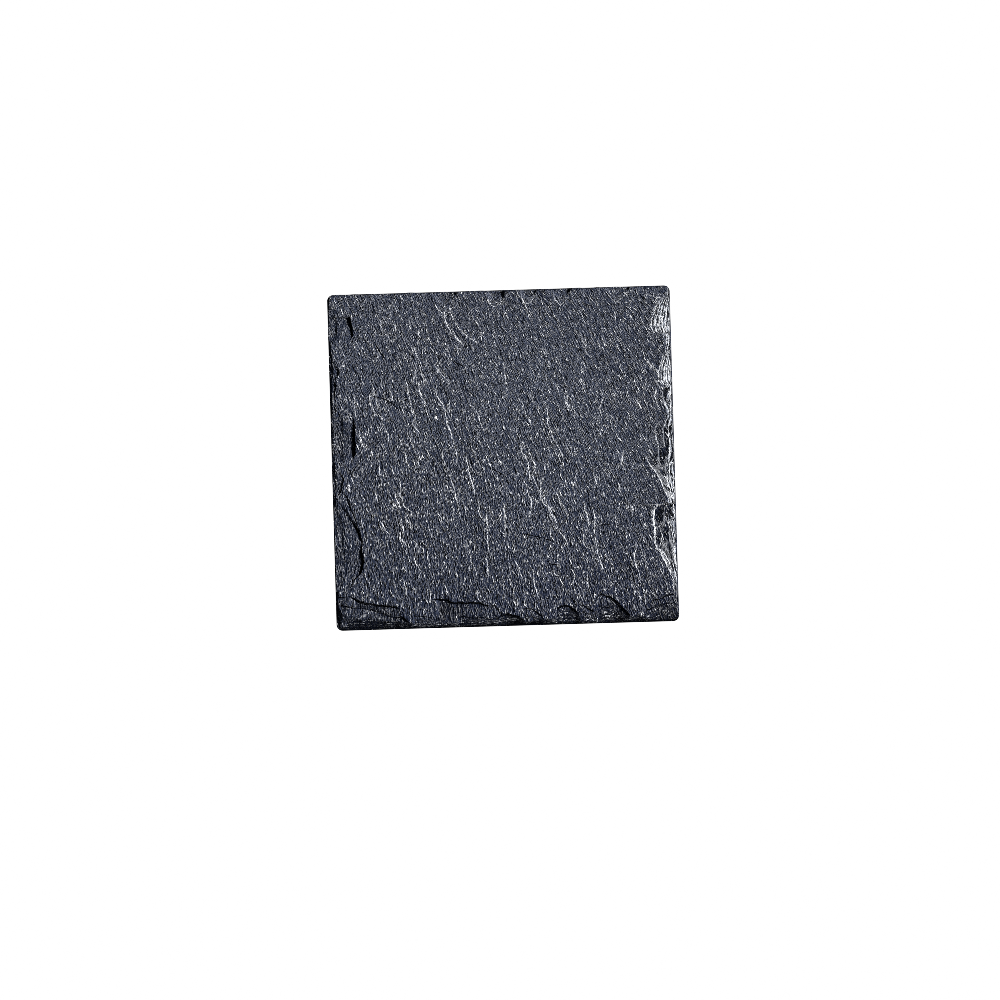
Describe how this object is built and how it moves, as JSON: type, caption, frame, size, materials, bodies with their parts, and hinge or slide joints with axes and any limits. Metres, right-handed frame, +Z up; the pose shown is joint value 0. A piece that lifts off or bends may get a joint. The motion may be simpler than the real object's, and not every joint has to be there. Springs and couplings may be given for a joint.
{
  "type": "slate slab",
  "caption": "Thin square slab of natural slate with a riven, grained top face, chipped hand-dressed edges, small round corners and a flat underside to rest on.",
  "frame": {"origin": "middle of the underside, on the surface the slab rests on", "axes": "+X to the right and +Y away in the picture's view from above, +Z up out of the riven face"},
  "size_m": [0.1, 0.098, 0.0055],
  "materials": {
    "slate": "natural riven slate, blue-grey, satin on the split face and rougher on the chips"
  },
  "bodies": {
    "root": {"slab": "slate"}
  },
  "joints": []
}
